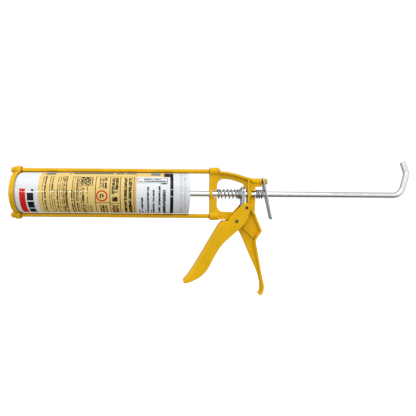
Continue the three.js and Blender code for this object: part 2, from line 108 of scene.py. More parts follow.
def linear(hex_colour):
    """An sRGB hex colour as linear red, green, blue and alpha."""
    channels = [int(hex_colour[i:i + 2], 16) / 255 for i in (1, 3, 5)]
    return [c / 12.92 if c <= 0.04045 else ((c + 0.055) / 1.055) ** 2.4 for c in channels] + [1.0]


# ---------- sizes and colours that a user may change ----------

def length(name, description, millimetres):
    return bpy.props.FloatProperty(
        name=name, description=description, default=millimetres * MM, unit="LENGTH", precision=5)


def tilt(name, description, degrees):
    return bpy.props.FloatProperty(
        name=name, description=description, default=math.radians(degrees), subtype="ANGLE")


def colour(name, description, hex_colour):
    return bpy.props.FloatVectorProperty(
        name=name, description=description, default=linear(hex_colour)[:3], subtype="COLOR",
        min=0, max=1)


class CaulkingGunSizes(bpy.types.PropertyGroup):
    """Sizes of the pieces that are modelled here"""
    rod_diameter: length("Rod", "Diameter of the push rod", 6.5)
    casting_length: length("Casting", "From the casting's front face to the rod's rear guide", 57.1)
    hook_start: length("Hook start", "From the rear guide to the first bend of the hook", 171.5)
    hook_bend: length("Hook bend", "Radius of the hook's bends, at the rod's middle", 12.4)
    hook_leg: length("Hook leg", "Length of the hook's leg between its corners", 27.6)
    hook_tip: length("Hook tip", "Length from the hook's upper corner to its end", 15.2)
    hook_lean: tilt("Hook lean", "How far the leg leans back from upright", 15)
    tip_lean: tilt("Tip lean", "How far the tip leans forward from upright", 19)
    rail_diameter: length("Rail", "Diameter of the two rails", 5.4)
    rail_head: length("Rail head", "Diameter of the rails' riveted heads", 8)
    wire_diameter: length("Spring wire", "Diameter of both springs' wire", 1.6)
    main_turns: bpy.props.FloatProperty(
        name="Main spring turns", description="Turns of the main spring", default=6.9, min=3)
    release_turns: bpy.props.FloatProperty(
        name="Release spring turns", description="Turns of the release spring", default=3.6, min=3)
    plate_width: length("Drive plate", "Width of the two drive plates", 13.6)
    release_width: length("Release plate", "Width of the release plate", 12)
    release_tilt: tilt("Release tilt", "How far the release plate leans at rest", 12)


class CaulkingGunColours(bpy.types.PropertyGroup):
    """Colours of the finishes"""
    enamel: colour("Enamel", "Yellow stoving enamel of castings and rails", "#E6B204")
    enamel_edge_highlight: colour("Enamel edge highlight", "Painted highlight on the enamel's sharp outer edges", "#F0CC55")
    enamel_corner_shade: colour("Enamel in corners", "Painted shade on the enamel in corners and creases", "#5E3602")
    zinc: colour("Zinc", "Bright zinc plate", "#E6E9EC")
    film: colour("Film", "Cream ground of the cartridge's print", "#EBCB7C")
    ink: colour("Ink", "Dark print on the cartridge", "#33270F")
    red: colour("Red", "Red print on the cartridge", "#D41A05")


# ---------- making meshes ----------

def placed(bm, name="piece"):
    """A plain object with this mesh, which is used up."""
    mesh = bpy.data.meshes.new(name)
    bm.to_mesh(mesh)
    bm.free()
    made = bpy.data.objects.new(name, mesh)
    bpy.context.scene.collection.objects.link(made)
    return made


def baked(made, *helpers):
    """The mesh of an object with its modifiers worked out. The object and its helpers are removed."""
    bpy.context.view_layer.update()
    bm = bmesh.new()
    bm.from_object(made, bpy.context.evaluated_depsgraph_get())
    for used in (made, *helpers):
        mesh = used.data
        bpy.data.objects.remove(used)
        bpy.data.meshes.remove(mesh)
    return bm


def combined(bm, tool, operation):
    """Two solids made one by a Boolean operation."""
    base, other = placed(bm), placed(tool)
    step = base.modifiers.new("combine", "BOOLEAN")
    step.operation = operation
    step.solver = "EXACT"
    step.object = other
    return baked(base, other)


def cast_skin(bm, voxel):
    """The same shape with the soft edges and filled corners of a casting."""
    raw = placed(bm)
    step = raw.modifiers.new("skin", "REMESH")
    step.mode = "VOXEL"
    step.voxel_size = voxel
    bm = baked(raw)
    for _ in range(SKIN_ROUNDS):
        bmesh.ops.smooth_vert(
            bm, verts=bm.verts, factor=0.5, use_axis_x=True, use_axis_y=True, use_axis_z=True)
    return bm


def copy_of(node):
    """A copy of a node's mesh with its loose triangles merged."""
    bm = bmesh.new()
    bm.from_mesh(frame["nodes"][node].data)
    bmesh.ops.remove_doubles(bm, verts=bm.verts, dist=0.004 * MM)
    return bm


def soften(bm, width, segments=2, least_angle=35):
    """Rounds every edge that turns by more than an angle."""
    limit = math.radians(least_angle)
    sharp = [e for e in bm.edges if e.is_manifold and e.calc_face_angle(0) > limit]
    bmesh.ops.bevel(
        bm, geom=sharp, offset=width, offset_type="OFFSET", segments=segments, profile=0.5,
        affect="EDGES", material=-1, clamp_overlap=True)
    return bm


def turned(profile, z=ROD_Z, steps=96):
    """A piece turned about a line along X. The profile's points are (place along X, radius)."""
    bm = bmesh.new()
    points = [bm.verts.new((x, 0, z + radius)) for x, radius in profile]
    lines = [bm.edges.new(pair) for pair in zip(points, points[1:])]
    bmesh.ops.spin(
        bm, geom=points + lines, cent=(0, 0, z), axis=(1, 0, 0), dvec=(0, 0, 0),
        angle=2 * math.pi, steps=steps, use_merge=True)
    bmesh.ops.remove_doubles(bm, verts=bm.verts, dist=0.001 * MM)
    bmesh.ops.recalc_face_normals(bm, faces=bm.faces)
    return bm


def bar(x0, x1, radius, z=ROD_Z, steps=48):
    """A round bar along X."""
    return turned([(x0, 0), (x0, radius), (x1, radius), (x1, 0)], z, steps)


def block(x0, x1, y0, y1, z0, z1):
    """A square block between two corners."""
    bm = bmesh.new()
    middle = Matrix.Translation(((x0 + x1) / 2, (y0 + y1) / 2, (z0 + z1) / 2))
    size = Matrix.Diagonal((x1 - x0, y1 - y0, z1 - z0, 1))
    bmesh.ops.create_cube(bm, size=1, matrix=middle @ size)
    return bm


def close_ends(bm):
    """Fills the open ends of a tube."""
    rims = [e for e in bm.edges if e.is_boundary]
    bmesh.ops.holes_fill(bm, edges=rims, sides=0)
    bmesh.ops.recalc_face_normals(bm, faces=bm.faces)
    return bm


def add_piece(bm, name, body, material, replaced, even=True):
    """Adds a finished piece that rides on a body and stands for its CAD nodes."""
    for face in bm.faces:
        face.smooth = True
    piece = placed(bm, name)
    piece.data.materials.append(material)
    if even:
        piece.modifiers.new("even shading", "WEIGHTED_NORMAL").keep_sharp = True
    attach(piece, body)
    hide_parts(*replaced)
    return piece


# ---------- making materials ----------

def add(tree, kind, inputs=None, **settings):
    """Adds a node. An input is a number, a colour, a socket, or a node that gives its first output."""
    made = tree.nodes.new(kind)
    for key, value in settings.items():
        setattr(made, key, value)
    for key, value in (inputs or {}).items():
        if isinstance(value, bpy.types.Node):
            value = value.outputs[0]
        if isinstance(value, bpy.types.NodeSocket):
            tree.links.new(value, made.inputs[key])
        else:
            made.inputs[key].default_value = value
    return made


def blank_material(name):
    material = bpy.data.materials.new(name)
    material.use_nodes = True
    material.node_tree.nodes.clear()
    return material, material.node_tree


def finish_material(tree, shader):
    add(tree, "ShaderNodeOutputMaterial", {"Surface": shader})


def spread(tree, noise, least, most):
    """A noise's usual range, 0.3 to 0.7, spread between two values."""
    return add(
        tree, "ShaderNodeMapRange",
        {"Value": noise, "From Min": 0.3, "From Max": 0.7, "To Min": least, "To Max": most})


# Scales of the patterns, in marks per metre, from each mark's real size. The finest are drawn coarser
# than they are, so that they show at all.
ENAMEL_CLOUDS = 60  # slow changes of the enamel's colour, 17 mm apart
ORANGE_PEEL = 650  # dimples of the stoved enamel, 1.5 mm across
CAST_GRAIN = 1800  # the mould's sand under the enamel, 0.2 mm grains drawn at 0.6 mm
EDGE_PATCH_SCALE = 240  # patches along an edge, 4 mm long: worn places on the metals, painted highlight on the enamel
PLATING_CLOUDS = 160  # faint clouds in the plating, 6 mm apart
FLOW_MARKS = 120  # flow marks in moulded plastic, 8 mm apart
FILM_RIPPLE = 90  # ripple where the film was shrunk on, 11 mm apart
PAPER_TOOTH = 1500  # fibres of the paper, 0.1 mm drawn at 0.7 mm
# Plated and oiled metals: name, colour (None for the zinc that the user sets), roughness, and the
# marks per metre along the piece and across it.
METALS = (
    # Drawing lines, 80 mm long and 0.1 mm apart, drawn at 0.7 mm: long streaks of light.
    ("bright zinc on drawn rod", None, 0.2, 12, 1500),
    # The rolled sheet's mottle, 4 mm: a soft grey shine.
    ("bright zinc on stamped plate", "#B4B8BC", 0.38, 260, 260),
    # The wire's skin, 1 mm: darker, with small sharp lights on each turn.
    ("oiled spring wire", "#96999D", 0.26, 900, 900),
    # Hammered ends, 1 mm: almost black.
    ("near-black pin", "#3B3430", 0.45, 900, 900),
    # Hammered ends, 1 mm: a dull brown grey.
    ("dull set pin", "#6E665C", 0.5, 900, 900),
)


def sharp_edge_patches(tree, place, least, most):
    """1 on sharp outer edges, in broken patches, and 0 on the flats. On the metals these are edges that
    hands and the bench rub; on the enamel they carry a painted highlight.
    """
    sharp = add(tree, "ShaderNodeNewGeometry").outputs["Pointiness"]
    edge = add(
        tree, "ShaderNodeMapRange", {"Value": sharp, "From Min": least, "From Max": most})
    patches = add(tree, "ShaderNodeTexNoise", {"Vector": place, "Scale": EDGE_PATCH_SCALE, "Detail": 2})
    broken = add(
        tree, "ShaderNodeMapRange", {"Value": patches, "From Min": 0.42, "From Max": 0.62})
    return add(tree, "ShaderNodeMath", {0: edge, 1: broken}, operation="MULTIPLY")


def yellow_enamel(colours):
    """Stoving enamel over a sand casting: a warm, even yellow with a soft gloss. Painted shade darkens
    it to brown in corners and creases, a painted highlight lightens its sharp outer edges, and orange
    peel and a faint cast grain break up its lights."""
    material, tree = blank_material("yellow stoving enamel")
    place = add(tree, "ShaderNodeTexCoord").outputs["Object"]
    cloud = add(tree, "ShaderNodeTexNoise", {"Vector": place, "Scale": ENAMEL_CLOUDS, "Detail": 3})
    peel = add(tree, "ShaderNodeTexNoise", {"Vector": place, "Scale": ORANGE_PEEL, "Detail": 1})
    grain = add(tree, "ShaderNodeTexNoise", {"Vector": place, "Scale": CAST_GRAIN, "Detail": 2})
    # Painted shade: where ambient occlusion finds a corner or crease, the enamel is mixed towards a dark
    # brown.
    shut_in = add(tree, "ShaderNodeAmbientOcclusion", {"Distance": 2.2 * MM}, samples=8)
    corner = add(
        tree, "ShaderNodeMapRange",
        {"Value": shut_in.outputs["AO"], "From Min": 0.42, "From Max": 0.88,
         "To Min": 1.0, "To Max": 0.0})
    tone = add(
        tree, "ShaderNodeHueSaturation",
        {"Color": (*colours.enamel, 1), "Value": spread(tree, cloud, 0.93, 1.06)})
    surface = add(
        tree, "ShaderNodeMix",
        {"Factor": corner, 6: tone, 7: (*colours.enamel_corner_shade, 1)}, data_type="RGBA")
    # Painted highlight: sharp outer edges are mixed towards a lighter yellow, in broken patches.
    edge_patches = sharp_edge_patches(tree, place, 0.525, 0.60)
    surface = add(
        tree, "ShaderNodeMix",
        {"Factor": edge_patches, 6: surface.outputs[2], 7: (*colours.enamel_edge_highlight, 1)}, data_type="RGBA")
    gloss = add(
        tree, "ShaderNodeMath", {0: edge_patches, 1: -0.1, 2: spread(tree, cloud, 0.30, 0.40)},
        operation="MULTIPLY_ADD")
    relief = add(tree, "ShaderNodeMath", {0: peel, 1: 0.6, 2: grain}, operation="MULTIPLY_ADD")
    bump = add(tree, "ShaderNodeBump", {"Strength": 0.35, "Distance": 0.12 * MM, "Height": relief})
    shader = add(
        tree, "ShaderNodeBsdfPrincipled",
        {"Base Color": surface.outputs[2], "Roughness": gloss, "Normal": bump,
         "Specular IOR Level": 0.1, "Coat Weight": 0.1, "Coat Roughness": 0.15})
    finish_material(tree, shader)
    return material


def plated_steel(name, base, rough, along, across):
    """Plated steel: a bright metal with the fine lines that drawing or stamping leaves, which pull its
    lights out, and with brighter rubbed edges."""
    material, tree = blank_material(name)
    place = add(tree, "ShaderNodeTexCoord").outputs["Object"]
    stretched = add(tree, "ShaderNodeMapping", {"Vector": place, "Scale": (along, across, across)})
    lines = add(tree, "ShaderNodeTexNoise", {"Vector": stretched, "Scale": 1, "Detail": 2})
    cloud = add(tree, "ShaderNodeTexNoise", {"Vector": place, "Scale": PLATING_CLOUDS, "Detail": 3})
    tone = add(
        tree, "ShaderNodeHueSaturation", {"Color": base, "Value": spread(tree, cloud, 0.9, 1.04)})
    edge_patches = sharp_edge_patches(tree, place, 0.53, 0.62)
    tone = add(
        tree, "ShaderNodeMix", {"Factor": edge_patches, 6: tone, 7: linear("#D6D9DB")}, data_type="RGBA")
    gloss = add(
        tree, "ShaderNodeMath",
        {0: edge_patches, 1: -0.08, 2: spread(tree, cloud, rough * 0.85, rough * 1.25)},
        operation="MULTIPLY_ADD")
    bump = add(tree, "ShaderNodeBump", {"Strength": 0.08, "Distance": 0.004 * MM, "Height": lines})
    shader = add(
        tree, "ShaderNodeBsdfPrincipled",
        {"Base Color": tone.outputs[2], "Metallic": 1.0, "Roughness": gloss, "Normal": bump})
    finish_material(tree, shader)
    return material


def moulded_plastic():
    """Milky polyethylene: soft, a little waxy, with faint flow marks."""
    material, tree = blank_material("milky polyethylene")
    place = add(tree, "ShaderNodeTexCoord").outputs["Object"]
    flow = add(
        tree, "ShaderNodeTexNoise",
        {"Vector": place, "Scale": FLOW_MARKS, "Detail": 2, "Distortion": 1})
    tone = add(tree, "ShaderNodeValToRGB", {"Fac": flow})
    tone.color_ramp.elements[0].color = linear("#E4E3DC")
    tone.color_ramp.elements[1].color = linear("#F3F2EE")
    bump = add(tree, "ShaderNodeBump", {"Strength": 0.15, "Distance": 0.05 * MM, "Height": flow})
    shader = add(
        tree, "ShaderNodeBsdfPrincipled",
        {"Base Color": tone, "Roughness": 0.42, "Normal": bump, "Subsurface Weight": 0.15,
         "Subsurface Scale": 1.5 * MM})
    finish_material(tree, shader)
    return material


# ---------- the cartridge's print ----------
# Places are in mm: "along" counts from the ring's front face, "round" counts up the tube's
# surface from the line that faces -Y. The marks are plain blocks and dashes and spell nothing.

def wrapped(tree):
    """Two values for the print: millimetres along the tube, and millimetres round it."""
    place = add(tree, "ShaderNodeTexCoord").outputs["Object"]
    centred = add(
        tree, "ShaderNodeMapping",
        {"Vector": place, "Scale": (1000, 1000, 1000),
         "Location": (-RING_X * 1000, 0, -ROD_Z * 1000)})
    parts = add(tree, "ShaderNodeSeparateXYZ", {"Vector": centred})
    towards = add(tree, "ShaderNodeMath", {0: parts.outputs[1], 1: -1.0}, operation="MULTIPLY")
    angle = add(tree, "ShaderNodeMath", {0: parts.outputs[2], 1: towards}, operation="ARCTAN2")
    around = add(
        tree, "ShaderNodeMath", {0: angle, 1: TUBE_RADIUS / MM}, operation="MULTIPLY")
    return parts.outputs[0], around.outputs[0]


def within(tree, value, span):
    """1 where a value lies between two limits, and 0 elsewhere."""
    start, end = span
    return add(
        tree, "ShaderNodeMath",
        {0: value, 1: (start + end) / 2, 2: (end - start) / 2}, operation="COMPARE").outputs[0]


def both(tree, first, second):
    """The part that two masks share."""
    return add(tree, "ShaderNodeMath", {0: first, 1: second}, operation="MULTIPLY").outputs[0]


def either(tree, *masks):
    """All parts of several masks together."""
    total = masks[0]
    for mask in masks[1:]:
        total = add(tree, "ShaderNodeMath", {0: total, 1: mask}, operation="MAXIMUM").outputs[0]
    return total


def area(tree, here, patch):
    """1 on a patch, given as from and to along the tube, and from and to round it."""
    along, around = here
    return both(tree, within(tree, along, patch[:2]), within(tree, around, patch[2:]))


def areas(tree, here, patches):
    """1 on any of several patches."""
    return either(tree, *(area(tree, here, patch) for patch in patches))


def columns(tree, along, spans):
    """1 inside each span of the length, in sharp steps of one colour ramp."""
    share = add(tree, "ShaderNodeMath", {0: along, 1: PRINT_LENGTH}, operation="DIVIDE")
    steps = add(tree, "ShaderNodeValToRGB", {"Fac": share})
    ramp = steps.color_ramp
    ramp.interpolation = "CONSTANT"
    ramp.elements[0].color = (0, 0, 0, 1)
    ramp.elements[1].position = spans[0][0] / PRINT_LENGTH
    ramp.elements[1].color = (1, 1, 1, 1)
    marks = [(spans[0][1], 0)] + [mark for start, end in spans[1:] for mark in ((start, 1), (end, 0))]
    for place, shade in marks:
        ramp.elements.new(place / PRINT_LENGTH).color = (shade, shade, shade, 1)
    return steps.outputs[0]


def speckle(tree, here, marks):
    """Random cells of a size in mm, a share of them 1 and the others 0."""
    wide, tall, share = marks
    snapped = [
        add(tree, "ShaderNodeMath", {0: value, 1: size}, operation="SNAP")
        for value, size in zip(here, (wide, tall))
    ]
    cell = add(tree, "ShaderNodeCombineXYZ", {0: snapped[0], 1: snapped[1]})
    chance = add(tree, "ShaderNodeTexWhiteNoise", {"Vector": cell}, noise_dimensions="2D")
    return add(tree, "ShaderNodeMath", {0: chance, 1: share}, operation="LESS_THAN").outputs[0]


def painted(tree, ground, mask, ink):
    """A ground with one ink laid over it where the mask is 1."""
    return add(
        tree, "ShaderNodeMix", {"Factor": mask, 6: ground, 7: ink}, data_type="RGBA").outputs[2]


# Columns of small print: from and to along the tube.
UPPER_COLUMNS = (
    (38.9, 39.8), (41.8, 43.0), (47.4, 48.6), (50.4, 51.6), (56.8, 58.0), (59.6, 60.7), (62.0, 63.1),
    (64.4, 65.4), (66.8, 68.6), (74.2, 75.2), (76.8, 77.8), (79.6, 81.0), (82.0, 83.2),
)
LOWER_COLUMNS = (
    (38.9, 40.2), (41.8, 43.3), (47.3, 48.9), (50.0, 51.5), (52.6, 53.8), (56.4, 57.8), (59.4, 60.7),
    (61.9, 63.1), (64.1, 65.4), (66.4, 69.0), (73.2, 74.8), (76.2, 78.0), (79.4, 80.8), (82.0, 83.2),
)
LONG_COLUMNS = ((84.5, 85.8), (86.7, 88.6), (92.2, 93.4))
LAST_COLUMNS = ((89.9, 91.0), (94.6, 96.0), (96.8, 97.8))
PANEL_COLUMNS = (
    (106.8, 108.6), (110.0, 111.8), (113.2, 115.4), (121.8, 124.8), (125.8, 129.2), (136.0, 139.6),
    (141.2, 145.4),
)
RULES = ((101.8, 102.5), (119.2, 119.9), (131.4, 132.1), (147.4, 148.1))
STAMP_ROWS = ((203.0, 206.4), (207.8, 210.4))

# Groups of columns, and the lengths round the tube that each group fills.
FAR_RISE = (44.0, 74.0)
COLUMN_GROUPS = (
    (UPPER_COLUMNS, ((3.5, 23.0),)),
    (LOWER_COLUMNS, ((-74.0, 3.5), FAR_RISE)),
    (LONG_COLUMNS, ((-72.0, 7.6),)),
    (LAST_COLUMNS, ((-72.0, -15.0),)),
    (PANEL_COLUMNS, ((5.0, 20.5), (-34.0, -16.0), (-72.0, -40.0), FAR_RISE)),
)
RULE_GROUP = (RULES, ((-74.0, 22.4), FAR_RISE))
BAND_LINES = ((4.0, 4.6), (-4.2, -3.6))

# Patches: from and to along the tube, and from and to round it.
CODE_SQUARE = (84.5, 96.8, 8.3, 21.6)
DENSE_PANEL = (136.0, 145.4, -17.0, 5.5)
LETTERED_PATCHES = ((97.8, 99.2, 8.3, 22.0), (121.8, 129.2, -1.5, 5.2))
CROSSING_RULES = (
    (101.8, 119.9, -12.4, -11.8), (119.2, 132.1, -13.9, -13.3), (101.8, 148.1, 22.0, 22.5),
)
SPOTS = ((122.6, 128.8, -11.0, -4.8), (107.6, 112.6, -6.6, -1.4))
BROWN_SPOT = (121.4, 125.6, -25.2, -20.4)
RED_BLOCK = (12.4, 19.6, -44.0, 4.2)
BLACK_BLOCKS = (21.4, 29.2, -42.0, 0.4)
BLACK_DOT = (26.6, 29.2, 1.2, 3.8)
GREY_TABS = ((40.2, 52.0, 26.0, 44.0), (168.0, 179.6, 25.6, 44.0))
# A dark row under the top rail: partly print, partly a painted shadow of the rail.
TOP_ROW_AND_RAIL_SHADOW = (69.0, 150.0, 29.4, 36.0)
RING_MIDDLE = (110.2, -3.8)
RING_BAND = (5.2, 6.9)  # inner and outer radius
BLOCK_PITCH, BLOCK_GAP = 5.4, 0.7  # half the pitch of the black blocks, and half the gap

# Random marks: width along, height round, and the share that is inked.
LETTER_MARKS = (0.8, 0.6, 0.84)
WORD_MARKS = (3.2, 1.8, 0.93)
CODE_MARKS = (0.8, 0.8, 0.72)
SPOT_MARKS = (1.3, 1.3, 0.8)
TOP_MARKS = (2.6, 9.0, 0.85)
STAMP_MARKS = (1.1, 1.3, 0.55)

# Grounds along the tube, each from its place on. None is the film's own colour.
# The gold band from 149 to 150.6 is a painted shadow beside the sticker's front edge.
FILM_BANDS = (
    (0.0, "#E4E7EB"), (34.2, None), (149.0, "#E3B244"), (150.6, None), (183.5, "#15120F"),
    (195.0, "#E0E2E7"),
)
CREAM_PART = (34.2, 150.0)
BLACK_BAND = (183.5, 195.0)
PRINT_LENGTH = 220.0  # the colour ramps of the print run from 0 to here


def film_ground(tree, along, colours):
    """The coloured bands along the tube, one of them a painted shadow beside the sticker's front edge.
    """
    share = add(tree, "ShaderNodeMath", {0: along, 1: PRINT_LENGTH}, operation="DIVIDE")
    bands = add(tree, "ShaderNodeValToRGB", {"Fac": share})
    ramp = bands.color_ramp
    ramp.interpolation = "CONSTANT"
    for index, (start, shade) in enumerate(FILM_BANDS):
        place = start / PRINT_LENGTH
        element = ramp.elements[index] if index < 2 else ramp.elements.new(place)
        element.position = place
        element.color = linear(shade) if shade else (*colours.film, 1)
    return bands.outputs[0]


def column_group(tree, here, spans, rises):
    """Columns that each fill the same lengths round the tube."""
    along, around = here
    filled = either(tree, *(within(tree, around, rise) for rise in rises))
    return both(tree, columns(tree, along, spans), filled)


def small_print(tree, here):
    """The dark print: dashed columns, a speckled square, rules and two spots."""
    groups = [column_group(tree, here, *group) for group in COLUMN_GROUPS]
    dense = both(tree, columns(tree, here[0], PANEL_COLUMNS), area(tree, here, DENSE_PANEL))
    lettered = both(
        tree, either(tree, *groups, dense, areas(tree, here, LETTERED_PATCHES)),
        both(tree, speckle(tree, here, LETTER_MARKS), speckle(tree, here, WORD_MARKS)))
    code = both(tree, area(tree, here, CODE_SQUARE), speckle(tree, here, CODE_MARKS))
    spots = both(tree, areas(tree, here, SPOTS), speckle(tree, here, SPOT_MARKS))
    rules = either(
        tree, column_group(tree, here, *RULE_GROUP), areas(tree, here, CROSSING_RULES))
    return both(
        tree, either(tree, lettered, code, rules, spots), within(tree, here[0], CREAM_PART))


def film_print(tree, here, colours):
    """The tube's own print, one colour laid over the other. Its dark top row is partly print and partly
    a painted shadow of the top rail.
    """
    along, around = here
    offsets = [
        add(tree, "ShaderNodeMath", {0: value, 1: middle}, operation="SUBTRACT")
        for value, middle in zip(here, RING_MIDDLE)
    ]
    offset = add(tree, "ShaderNodeCombineXYZ", {0: offsets[0], 1: offsets[1]})
    reach = add(tree, "ShaderNodeVectorMath", {0: offset}, operation="LENGTH").outputs["Value"]
    red = either(tree, area(tree, here, RED_BLOCK), within(tree, reach, RING_BAND))
    step = add(tree, "ShaderNodeMath", {0: around, 1: BLOCK_PITCH}, operation="PINGPONG")
    solid = add(tree, "ShaderNodeMath", {0: step, 1: BLOCK_GAP}, operation="GREATER_THAN").outputs[0]
    black = either(tree, both(tree, area(tree, here, BLACK_BLOCKS), solid), area(tree, here, BLACK_DOT))
    tabs = areas(tree, here, GREY_TABS)
    # Partly print and partly a painted shadow of the top rail.
    top_row_and_rail_shadow = both(tree, area(tree, here, TOP_ROW_AND_RAIL_SHADOW), speckle(tree, here, TOP_MARKS))
    band_lines = both(
        tree, within(tree, along, BLACK_BAND),
        either(tree, *(within(tree, around, line) for line in BAND_LINES)))
    stamps = both(
        tree, either(tree, *(within(tree, along, row) for row in STAMP_ROWS)),
        speckle(tree, here, STAMP_MARKS))
    layers = (
        (tabs, linear("#7E8284")), (top_row_and_rail_shadow, linear("#5A4F35")),
        (small_print(tree, here), (*colours.ink, 1)), (red, (*colours.red, 1)),
        (area(tree, here, BROWN_SPOT), linear("#A8601C")), (black, linear("#191614")),
        (band_lines, linear("#E6E6E4")), (stamps, linear("#BDC1CB")),
    )
    ground = film_ground(tree, along, colours)
    for mask, ink in layers:
        ground = painted(tree, ground, mask, ink)
    return ground


def printed_film(colours):
    """Printed film on a polyethylene tube: glossy, with the least ripple along its length."""
    material, tree = blank_material("printed gloss film")
    place = add(tree, "ShaderNodeTexCoord").outputs["Object"]
    ripple = add(tree, "ShaderNodeTexNoise", {"Vector": place, "Scale": FILM_RIPPLE, "Detail": 2})
    bump = add(tree, "ShaderNodeBump", {"Strength": 0.12, "Distance": 0.1 * MM, "Height": ripple})
    shader = add(
        tree, "ShaderNodeBsdfPrincipled",
        {"Base Color": film_print(tree, wrapped(tree), colours), "Roughness": 0.45, "Normal": bump,
         "Specular IOR Level": 0.05, "Coat Weight": 0.32, "Coat Roughness": 0.05})
    finish_material(tree, shader)
    return material


# The sticker's print, in the same places as the film's.
STICKER_COLUMNS = (
    (156.8, 159.1, -60.0, -5.4), (163.8, 166.1, -60.0, 7.6), (170.5, 172.6, -60.0, 3.8),
    (177.3, 179.7, -60.0, 8.6), (182.4, 185.9, -60.0, 3.8),
)
STICKER_SHORT, STICKER_SHORT_RISE = ((153.8, 155.4), (160.8, 162.2), (167.8, 169.2)), (-60.0, -22.5)
STICKER_ROWS = (
    (160.0, 180.0, 17.2, 18.8), (154.4, 158.6, 14.2, 15.9), (160.0, 187.2, 14.2, 15.9),
    (179.4, 187.8, 10.8, 12.4),
)
STICKER_BOX = (152.0, 188.5, 12.4, 20.2)
STICKER_BOX_INSIDE = (152.8, 187.7, 13.1, 19.5)
STICKER_LETTERS = (0.8, 0.7, 0.9)
STICKER_WORDS = (3.0, 2.0, 0.95)


def sticker_paper():
    """Coated paper: matt, cool white, with a fine tooth and dark print."""
    material, tree = blank_material("coated paper")
    here = wrapped(tree)
    place = add(tree, "ShaderNodeTexCoord").outputs["Object"]
    tooth = add(tree, "ShaderNodeTexNoise", {"Vector": place, "Scale": PAPER_TOOTH, "Detail": 2})
    bump = add(tree, "ShaderNodeBump", {"Strength": 0.1, "Distance": 0.05 * MM, "Height": tooth})
    letters = both(
        tree, speckle(tree, here, STICKER_LETTERS), speckle(tree, here, STICKER_WORDS))
    short = both(
        tree, columns(tree, here[0], STICKER_SHORT), within(tree, here[1], STICKER_SHORT_RISE))
    marks = either(tree, areas(tree, here, STICKER_COLUMNS + STICKER_ROWS), short)
    outline = add(
        tree, "ShaderNodeMath",
        {0: area(tree, here, STICKER_BOX), 1: area(tree, here, STICKER_BOX_INSIDE)},
        operation="SUBTRACT").outputs[0]
    ground = painted(tree, linear("#E6EAEE"), outline, linear("#5F666E"))
    ground = painted(tree, ground, both(tree, marks, letters), linear("#2A2D33"))
    shader = add(
        tree, "ShaderNodeBsdfPrincipled", {"Base Color": ground, "Roughness": 0.5, "Normal": bump})
    finish_material(tree, shader)
    return material


def finishes():
    """Every material by its name, made once."""
    colours = bpy.context.scene.gun_colours
    if "yellow stoving enamel" not in bpy.data.materials:
        yellow_enamel(colours)
        for name, shade, rough, along, across in METALS:
            base = linear(shade) if shade else (*colours.zinc, 1)
            plated_steel(name, base, rough, along, across)
        moulded_plastic()
        printed_film(colours)
        sticker_paper()
    return bpy.data.materials


# ---------- the pieces ----------

def make_body_casting(enamel):
    """The casting with its handle: web, flanges, bosses and nose."""
    bm = cast_skin(copy_of("body_casting"), 0.38 * MM)
    add_piece(bm, "body_casting_skin", "frame", enamel, ["body_casting"], even=False)


def make_front_ring(enamel, sizes):
    """The ring that holds the cartridge's front, with an ear for each rail."""
    front, back = low("front_ring").x, high("front_ring").x
    outer = high("front_ring").y
    cup = outer - 2.3 * MM
    lip = cup - 4.5 * MM
    floor = front + 2.5 * MM
    band = front + 5.8 * MM
    bm = turned(
        [(front, lip), (front, outer), (band, outer), (band, cup), (floor, cup), (floor, lip),
         (front, lip)],
        steps=160)
    ear = high("front_ring").z - ROD_Z - RAIL_RISE
    for side in (1, -1):
        z = ROD_Z + side * RAIL_RISE
        bm = combined(bm, bar(front, back, ear, z), "UNION")
    bm = combined(bm, bar(floor, back + MM, cup, steps=160), "DIFFERENCE")
    bore = sizes.rail_diameter / 2 + RAIL_FIT
    for side in (1, -1):
        z = ROD_Z + side * RAIL_RISE
        bm = combined(bm, bar(front - MM, back + MM, bore, z), "DIFFERENCE")
    bm = cast_skin(bm, 0.34 * MM)
    add_piece(bm, "front_ring_skin", "frame", enamel, ["front_ring"], even=False)


def make_trigger(enamel):
    """The trigger: a pressed channel whose front edges are well rounded."""
    bm = copy_of("trigger")
    bmesh.ops.dissolve_limit(
        bm, angle_limit=math.radians(0.8), verts=bm.verts, edges=bm.edges, delimit=set())
    half = high("trigger").y
    fronts = []
    for edge in bm.edges:
        if not edge.is_manifold or edge.calc_length() < 1.5 * MM:
            continue
        spans = [max(v.co.y for v in f.verts) - min(v.co.y for v in f.verts) for f in edge.link_faces]
        at_side = all(abs(abs(v.co.y) - half) < 0.05 * MM for v in edge.verts)
        if at_side and min(spans) < 0.1 * MM and max(spans) > 1.9 * half:
            fronts.append(edge)
    bmesh.ops.bevel(
        bm, geom=fronts, offset=2.4 * MM, offset_type="OFFSET", segments=5, profile=0.5,
        affect="EDGES", material=-1, clamp_overlap=False)
    bm = cast_skin(bm, 0.42 * MM)
    add_piece(bm, "trigger_skin", "trigger", enamel, ["trigger"], even=False)


def make_rail(name, side, enamel, sizes):
    """A rail with its riveted head in front of the ring."""
    z = ROD_Z + side * RAIL_RISE
    start, end = low(name).x, high(name).x
    radius, head = sizes.rail_diameter / 2, sizes.rail_head / 2
    seat = RING_X - 0.3 * MM
    dome = [
        (start + head * (1 - math.cos(a)), head * math.sin(a))
        for a in (math.radians(9 * k) for k in range(11))
    ]
    profile = dome + [(seat, head), (seat, radius), (end, radius), (end, 0)]
    bm = soften(turned(profile, z, 48), 0.5 * MM, 3, 40)
    add_piece(bm, name + "_rod", "frame", enamel, [name])


